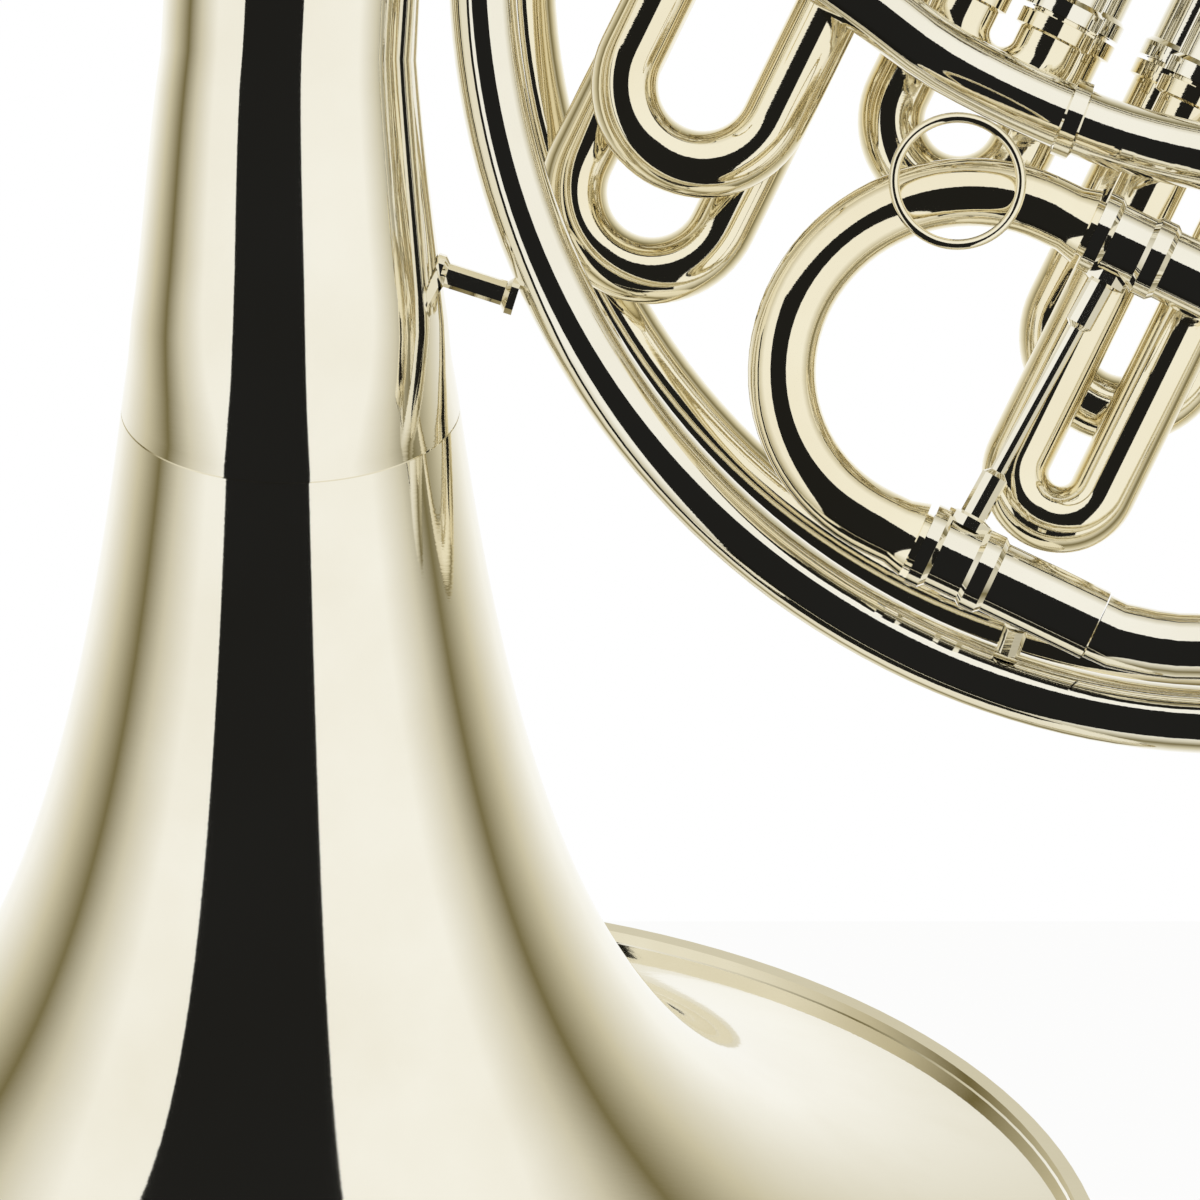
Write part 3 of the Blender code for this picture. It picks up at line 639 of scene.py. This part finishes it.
def make_leadpipe(gold, silver):
    """The leadpipe round the body, the mouthpiece receiver and the mouthpiece."""
    start = BOW_LOW + LEG_WAY * (BOW_SLEEVE_START + BOW_SLEEVE_LENGTH + GAP)
    points = [start, start + LEG_WAY * 4]
    for degrees, y in LEADPIPE_ARC:
        angle = math.radians(degrees)
        points.append(Vector((LEADPIPE_R * math.cos(angle), y, LEADPIPE_R * math.sin(angle))))
    points.append(RECEIVER_START - MOUTH_WAY * GAP)
    path = smooth_path(points, LEADPIPE_STEP)
    last = len(path) - 1
    radii = [TUBE_R - LEADPIPE_TAPER * number / last for number in range(len(path))]
    sweep("leadpipe", path, radii, silver)
    profile = (
        (0, 0), (0, 6.0), (4, 7.6), (7, 6.4), (RECEIVER_LENGTH - 5, 7.0), (RECEIVER_LENGTH - 4, 8.2),
        (RECEIVER_LENGTH, 8.2), (RECEIVER_LENGTH, 4.8), (8, 4.8), (8, 0),
    )
    turned("mouthpiece_receiver", RECEIVER_START, MOUTH_WAY, profile, gold)
    shank = RECEIVER_START + MOUTH_WAY * SHANK_START
    end = MOUTHPIECE_LENGTH
    profile = (
        (0, 0), (0, 3.8), (24, 4.4), (34, 4.8), (end - 18, 6.0), (end - 12, 9.5), (end - 3, 12.2),
        (end - 2, 13.0), (end, 13.0), (end, 8.6), (end - 14, 3.0), (end - 22, 2.0), (end - 22, 0),
    )
    turned("mouthpiece", shank, MOUTH_WAY, profile, silver, sides=MOUTHPIECE_SIDES, pivot=shank)


def make_valve(number, gold, silver):
    """One rotary valve: casing, cap, rotor with its spindle, and the stop arm on the spindle."""
    centre = valve_centre(number)
    name = VALVE_NAMES[number]
    front = centre + Vector((0, VALVE_FRONT_Y, 0))
    axis = Vector((0, 1, 0))
    depth = VALVE_BACK_Y - VALVE_FRONT_Y
    profile = (
        (0, VALVE_BORE_R), (0, VALVE_R), (depth, VALVE_R), (depth, 0),
        (depth - VALVE_FLOOR, 0), (depth - VALVE_FLOOR, VALVE_BORE_R),
    )
    outline = profile[4:] + profile[:4]
    turned(f"{name}_valve_casing", front, axis, outline, gold, sides=VALVE_SIDES)
    cap_front = VALVE_FRONT_Y - GAP - CAP_THICK
    start = centre + Vector((0, cap_front, 0))
    bore = SPINDLE_R + SPINDLE_PLAY
    profile = ((0, bore), (0, VALVE_R - 2), (1.5, VALVE_R), (CAP_THICK, VALVE_R), (CAP_THICK, bore))
    turned(f"{name}_valve_cap", start, axis, profile, silver, sides=VALVE_SIDES)
    tip = cap_front - SPINDLE_OUT
    start = centre + Vector((0, tip, 0))
    body_start = VALVE_FRONT_Y + ROTOR_PLAY - tip
    body_end = VALVE_BACK_Y - VALVE_FLOOR - ROTOR_PLAY - tip
    profile = (
        (0, 0), (0, SPINDLE_R), (body_start, SPINDLE_R), (body_start, ROTOR_R),
        (body_end, ROTOR_R), (body_end, 0),
    )
    turned(f"{name}_rotor", start, axis, profile, silver, sides=VALVE_SIDES, pivot=centre)
    outline = []
    for step in range(9):
        angle = math.pi * (0.5 + step / 8)
        outline.append((ARM_HUB_R * math.cos(angle), ARM_HUB_R * math.sin(angle)))
    for step in range(5):
        angle = math.pi * (-0.5 + step / 4)
        reach = ARM_REACH - ARM_TIP_R + ARM_TIP_R * math.cos(angle)
        outline.append((reach, ARM_TIP_R * math.sin(angle)))
    placed = []
    for x, z in outline:
        along = x * math.cos(ARM_TURN) - z * math.sin(ARM_TURN)
        across = x * math.sin(ARM_TURN) + z * math.cos(ARM_TURN)
        placed.append((centre.x + along, centre.z + across))
    slab(f"{name}_stop_arm", placed, tip - GAP - ARM_THICK, ARM_THICK, gold, pivot=centre)


def make_valve_slide(name, number, layer, half, reach, gold, silver):
    """A fixed pair of sleeves with a flanged brace, and the sliding bow inside them."""
    base = valve_centre(number) + Vector((0, layer, 0))
    leg_start = math.sqrt(VALVE_R ** 2 - max(0.0, half - SLEEVE_R) ** 2) + GAP
    bow_at = reach - half - TUBE_R
    mouth = leg_start + SLEEVE_LENGTH
    pieces = []
    for sign in (-1, 1):
        start = base + ROW_DIR * (half * sign) + SLIDE_DIR * leg_start
        profile = (
            (0, SLEEVE_BORE_R), (0, SLEEVE_R), (SLEEVE_LENGTH - 4, SLEEVE_R),
            (SLEEVE_LENGTH - 3, SLEEVE_LIP_R), (SLEEVE_LENGTH, SLEEVE_LIP_R),
            (SLEEVE_LENGTH, SLEEVE_BORE_R),
        )
        pieces.append(turned("sleeve", start, SLIDE_DIR, profile, silver))
    brace = base + SLIDE_DIR * (leg_start + SLEEVE_LENGTH / 2)
    inner = half - SLEEVE_R + 0.4
    rod = inner - BRACE_DISC
    profile = (
        (-inner, 0), (-inner, BRACE_DISC_R), (-rod, BRACE_DISC_R), (-rod, BRACE_ROD_R),
        (rod, BRACE_ROD_R), (rod, BRACE_DISC_R), (inner, BRACE_DISC_R), (inner, 0),
    )
    if inner < BRACE_SHORTEST:
        profile = ((-inner, 0), (-inner, BRACE_DISC_R), (inner, BRACE_DISC_R), (inner, 0))
    pieces.append(turned("brace", brace, ROW_DIR, profile, silver, sides=ROD_SIDES))
    fuse(f"{name}_sleeves", pieces)
    collar = mouth + 1.0
    legs = []
    for sign in (-1, 1):
        side = base + ROW_DIR * (half * sign)
        legs.append([
            (side + SLIDE_DIR * (leg_start + LEG_INSET), INNER_LEG_R),
            (side + SLIDE_DIR * (collar - LEG_SHOULDER), INNER_LEG_R),
            (side + SLIDE_DIR * collar, COLLAR_R),
            (side + SLIDE_DIR * (collar + COLLAR_WIDTH), COLLAR_R),
            (side + SLIDE_DIR * (collar + COLLAR_WIDTH + COLLAR_EDGE), TUBE_R),
        ])
    bow = []
    middle = base + SLIDE_DIR * bow_at
    for step in range(SLIDE_BOW_STEPS + 1):
        angle = math.pi * step / SLIDE_BOW_STEPS
        place = middle - ROW_DIR * (half * math.cos(angle)) + SLIDE_DIR * (half * math.sin(angle))
        bow.append((place, TUBE_R))
    marks = [*legs[0], *bow, *reversed(legs[1])]
    path = [place for place, _ in marks]
    radii = [size for _, size in marks]
    sweep(f"{name}_slide", path, radii, gold, pivot=middle)


def make_levers(gold, silver):
    """The four levers, their hinge rod, its two posts and the plate that carries them."""
    first = valve_centre(0) - SLIDE_DIR * LEVER_ROW_OFFSET + Vector((0, LEVER_Y, 0))
    rod_start = first - ROW_DIR * ROD_OVERHANG
    rod_length = VALVE_PITCH * (len(VALVE_NAMES) - 1) + 2 * ROD_OVERHANG
    profile = ((0, 0), (0, ROD_R), (rod_length, ROD_R), (rod_length, 0))
    turned("lever_hinge_rod", rod_start, ROW_DIR, profile, silver, sides=ROD_SIDES)
    for number, name in enumerate(VALVE_NAMES):
        hinge = first + ROW_DIR * (VALVE_PITCH * number)
        half = LEVER_HUB_LENGTH / 2
        bore = ROD_R + HUB_PLAY
        profile = ((-half, bore), (-half, LEVER_HUB_R), (half, LEVER_HUB_R), (half, bore))
        hub = turned("hub", hinge, ROW_DIR, profile, silver, sides=ROD_SIDES)
        up = -SLIDE_DIR
        outline = lever_outline(hinge, up)
        bar = slab("bar", outline, LEVER_Y - LEVER_HUB_R - BAR_OUT, BAR_THICK, silver)
        paddle_at = hinge + up * (LEVER_REACH - PADDLE_R)
        points = []
        for step in range(PADDLE_STEPS):
            angle = 2 * math.pi * step / PADDLE_STEPS
            place = paddle_at + up * (PADDLE_R * PADDLE_STRETCH * math.cos(angle))
            place += ROW_DIR * (PADDLE_R * math.sin(angle))
            points.append((place.x, place.z))
        paddle = slab("paddle", points, LEVER_Y - LEVER_HUB_R - PADDLE_OUT, PADDLE_THICK, silver)
        lever = fuse(f"{name}_lever", [hub, bar, paddle])
        shift_origin(lever, hinge)
        dress(lever, f"{name}_lever")
    for number, share in enumerate((0.02, 0.98)):
        foot = rod_start + ROW_DIR * (rod_length * share)
        base = Vector((foot.x, PLATE_Y - PLATE_THICK - GAP, foot.z))
        height = base.y - (LEVER_Y + ROD_R + GAP)
        profile = (
            (0, 0), (0, POST_FOOT_R), (FOOT_RIM, POST_FOOT_R), (FOOT_END, POST_R),
            (height, POST_R), (height, 0),
        )
        turned(f"hinge_post_{number + 1}", base, Vector((0, -1, 0)), profile, gold, sides=ROD_SIDES)
    start = rod_start - ROW_DIR * 3
    end = rod_start + ROW_DIR * (rod_length + 3)
    low = SLIDE_DIR * 14
    high = -SLIDE_DIR * 6
    corners = (start + low, end + low, end + high, start + high)
    slab("lever_plate", [(c.x, c.z) for c in corners], PLATE_Y - PLATE_THICK, PLATE_THICK, gold)


def lever_outline(hinge, up):
    """The four corners of a lever's bar, from its tail to under its paddle."""
    half = LEVER_BAR / 2
    tail = hinge - up * LEVER_TAIL
    tip = hinge + up * LEVER_REACH * BAR_SHARE
    side = ROW_DIR * half
    corners = (tail - side, tail + side, tip + side, tip - side)
    return [(corner.x, corner.z) for corner in corners]


def shift_origin(made, place):
    """Move an object's origin without moving its mesh in the world."""
    offset = place * MILLI
    made.data.transform(Matrix.Translation(made.location - offset))
    made.location = offset


# The two braces of round rod
BRACE_R = 2.4
BRACE_FOOT_R = 3.6
SLEEVE_CLEAR = 1.6
LOOP_CLEAR = 1.2
LOOP_INSET = 1.3


def rod_between(name, start, end, finish, foot=0.0):
    """A brace: a rod, with a disc foot at each end where a radius is given for it."""
    way = end - start
    length = way.length
    profile = [(0, 0), (0, BRACE_R), (length, BRACE_R), (length, 0)]
    if foot:
        profile = [
            (0, 0), (0, foot), (FOOT_RIM, foot), (FOOT_END, BRACE_R),
            (length - FOOT_END, BRACE_R), (length - FOOT_RIM, foot), (length, foot), (length, 0),
        ]
    return turned(name, start, way, profile, finish, sides=ROD_SIDES)


def make_braces(silver):
    """A brace between bell and outer loop, and one between tuning slide sleeve and outer loop."""
    bell_side = Vector((-150.2, FRONT_Y, -60.5))
    loop_side = Vector((-134.6, FRONT_Y, -65.5))
    rod_between("bell_brace", bell_side, loop_side, silver, foot=BRACE_FOOT_R)
    sleeve = BOW_LOW + LEG_WAY * (BOW_SLEEVE_START + 22)
    on_loop = Vector((sleeve.x, 0, sleeve.z)).normalized() * (OUTER_LOOP_LOW_R - LOOP_INSET)
    on_loop.y = FRONT_Y
    way = (on_loop - sleeve).normalized()
    upper = sleeve + way * (SLEEVE_R + SLEEVE_CLEAR)
    rod_between("tuning_brace", upper, on_loop - way * (TUBE_R + LOOP_CLEAR), silver)


# The pull ring and the finger hook
RING_R = 11.9
RING_WIRE_R = 1.0
RING_CLEAR = 1.4
RING_STEPS = 72
WIRE_SIDES = 16
HOOK_R = 2.6
HOOK_SIDES = 8
HOOK_STEP = 2


def make_ring(name, centre, finish):
    """A pull ring of round wire that lies in the plane of the body."""
    bm = bmesh.new()
    rows = []
    for number in range(RING_STEPS):
        around = 2 * math.pi * number / RING_STEPS
        row = []
        for side in range(WIRE_SIDES):
            angle = 2 * math.pi * side / WIRE_SIDES
            reach = RING_R + RING_WIRE_R * math.cos(angle)
            depth = RING_WIRE_R * math.sin(angle)
            place = (reach * math.cos(around), depth, reach * math.sin(around))
            row.append(bm.verts.new(centre + Vector(place)))
        rows.append(row)
    for number in range(RING_STEPS):
        row = rows[number]
        after = rows[(number + 1) % RING_STEPS]
        for side in range(WIRE_SIDES):
            corner = (side + 1) % WIRE_SIDES
            bm.faces.new((row[side], row[corner], after[corner], after[side]))
    return finish_object(name, bm, finish)


def make_small_parts(gold):
    """The pull ring in front of the main slide's bow, and the finger hook."""
    make_ring("main_slide_pull_ring", Vector((-52, TUNING_Y - TUBE_R - RING_CLEAR, -44.3)), gold)
    hook = [
        Vector((-135, -16.8, 40)), Vector((-135.5, -26, 42)), Vector((-137, -40, 37)),
        Vector((-137, -45, 22)), Vector((-135, -39, 11)),
    ]
    path = smooth_path(hook, HOOK_STEP)
    sweep("finger_hook", path, [HOOK_R] * len(path), gold, sides=HOOK_SIDES)


# The camera: the photograph's frame is 1200 pixels wide
PIXELS_PER_MM = 5.3
ORIGIN_PIXEL = (1230.0, -50.0)
PHOTO_PIXELS = 1200.0
CAMERA_AWAY = 2500.0
SENSOR = 36.0
CLIP_END = 50.0

# The floor: pale paint that also glows where the camera sees it, so it stays nearly white.
# The metals don't mirror it, so that the dark panel shows in them.
FLOOR_DROP = 0.002
FLOOR_HALF = 6.0
FLOOR_COLOR = (0.86, 0.86, 0.85, 1.0)
FLOOR_ROUGHNESS = 0.7
FLOOR_GLOW = 0.93


def make_camera():
    """A camera square to the body, as far to its side as the photograph's frame is."""
    data = bpy.data.cameras.new("camera")
    camera = bpy.data.objects.new("camera", data)
    bpy.context.collection.objects.link(camera)
    middle = PHOTO_PIXELS / 2
    x = (middle - ORIGIN_PIXEL[0]) / PIXELS_PER_MM
    z = -(middle - ORIGIN_PIXEL[1]) / PIXELS_PER_MM
    camera.location = Vector((x, -CAMERA_AWAY, z)) * MILLI
    camera.rotation_euler = (math.radians(90), 0, 0)
    data.sensor_width = SENSOR
    data.lens = SENSOR * (CAMERA_AWAY + FRONT_Y) * PIXELS_PER_MM / PHOTO_PIXELS
    data.clip_end = CLIP_END
    bpy.context.scene.camera = camera


def make_floor():
    """A floor just under the bell, with nothing of it in the exported part."""
    lowest = cad_box[0][2] - FLOOR_DROP
    bm = bmesh.new()
    bmesh.ops.create_grid(bm, x_segments=1, y_segments=1, size=FLOOR_HALF)
    mesh = bpy.data.meshes.new("floor")
    bm.to_mesh(mesh)
    bm.free()
    floor = bpy.data.objects.new("floor", mesh)
    floor.location = (0, 0, lowest)
    bpy.context.collection.objects.link(floor)
    floor.visible_glossy = False
    paint = bpy.data.materials.new("floor_paint")
    paint.use_nodes = True
    nodes = paint.node_tree.nodes
    links = paint.node_tree.links
    shader = nodes["Principled BSDF"]
    shader.inputs["Base Color"].default_value = FLOOR_COLOR
    shader.inputs["Roughness"].default_value = FLOOR_ROUGHNESS
    rays = nodes.new("ShaderNodeLightPath")
    share = combine(paint.node_tree, "MULTIPLY", rays.outputs["Is Camera Ray"], FLOOR_GLOW)
    glow = nodes.new("ShaderNodeEmission")
    mix = nodes.new("ShaderNodeMixShader")
    links.new(share, mix.inputs["Fac"])
    links.new(shader.outputs["BSDF"], mix.inputs[1])
    links.new(glow.outputs["Emission"], mix.inputs[2])
    links.new(mix.outputs["Shader"], nodes["Material Output"].inputs["Surface"])
    mesh.materials.append(paint)


# The studio: a pale room, dimmer at its sides, with one dark panel low in front of the horn.
# Each pair is the middle and the half width of the panel along that direction.
PANEL_ACROSS = (-0.215, 0.435)
PANEL_UP = (-0.325, 0.635)
PANEL_SHADE = 0.985
PANEL_COLOR = (0.0, 0.0, 0.0, 1)
# The room's colours, each at its place between straight ahead of the horn (0) and behind it (1)
ROOM_PALE = (1.0, 1.0, 0.98, 1)
PALE_UP_TO = 0.30
PALE_FROM = 0.95
ROOM_SIDES = (
    (0.46, (0.70, 0.67, 0.56, 1)),
    (0.60, (0.20, 0.17, 0.08, 1)),
    (0.76, (0.66, 0.62, 0.48, 1)),
)


def make_studio():
    """The world that the metals mirror. The camera itself sees it white."""
    world = bpy.data.worlds.new("studio")
    bpy.context.scene.world = world
    world.use_nodes = True
    tree = world.node_tree
    nodes = tree.nodes
    links = tree.links
    room = nodes["Background"]
    room.inputs["Strength"].default_value = 1.0
    place = nodes.new("ShaderNodeTexCoord")
    way = nodes.new("ShaderNodeSeparateXYZ")
    links.new(place.outputs["Generated"], way.inputs[0])
    depth = nodes.new("ShaderNodeMapRange")
    depth.inputs["From Min"].default_value = -1.0
    links.new(way.outputs["Y"], depth.inputs["Value"])
    ramp = nodes.new("ShaderNodeValToRGB")
    shades = ramp.color_ramp
    shades.elements[0].position = PALE_UP_TO
    shades.elements[0].color = ROOM_PALE
    shades.elements[1].position = PALE_FROM
    shades.elements[1].color = ROOM_PALE
    for position, color in ROOM_SIDES:
        shades.elements.new(position).color = color
    links.new(depth.outputs["Result"], ramp.inputs["Fac"])
    panel = combine(tree, "LESS_THAN", way.outputs["Y"], 0.0)
    for axis, (middle, half) in (("X", PANEL_ACROSS), ("Z", PANEL_UP)):
        inside = combine(tree, "COMPARE", way.outputs[axis], middle, half)
        panel = combine(tree, "MULTIPLY", panel, inside)
    amount = combine(tree, "MULTIPLY", panel, PANEL_SHADE)
    darken = nodes.new("ShaderNodeMix")
    darken.data_type = "RGBA"
    links.new(amount, darken.inputs["Factor"])
    links.new(ramp.outputs["Color"], darken.inputs["A"])
    darken.inputs["B"].default_value = PANEL_COLOR
    links.new(darken.outputs["Result"], room.inputs["Color"])
    white = nodes.new("ShaderNodeBackground")
    white.inputs["Strength"].default_value = 1.0
    white.inputs["Color"].default_value = (1, 1, 1, 1)
    rays = nodes.new("ShaderNodeLightPath")
    mix = nodes.new("ShaderNodeMixShader")
    links.new(rays.outputs["Is Camera Ray"], mix.inputs["Fac"])
    links.new(room.outputs["Background"], mix.inputs[1])
    links.new(white.outputs["Background"], mix.inputs[2])
    links.new(mix.outputs["Shader"], nodes["World Output"].inputs["Surface"])


gold_metal = metal("polished_gold_lacquer", (0.89, 0.83, 0.65), (0.84, 0.76, 0.56), 0.02, 0.07)
silver_metal = metal("polished_nickel_silver", (0.90, 0.87, 0.77), (0.85, 0.81, 0.69), 0.02, 0.06)
make_bell(silver_metal)
make_bell_tail(silver_metal)
make_branches(gold_metal, silver_metal)
make_main_slide(gold_metal, silver_metal)
make_leadpipe(gold_metal, silver_metal)
for valve_number in range(len(VALVE_NAMES)):
    make_valve(valve_number, gold_metal, silver_metal)
for slide in SLIDES:
    make_valve_slide(*slide, gold_metal, silver_metal)
make_levers(gold_metal, silver_metal)
make_braces(silver_metal)
make_small_parts(gold_metal)
make_camera()
make_floor()
make_studio()
bpy.context.scene.view_settings.view_transform = "Standard"
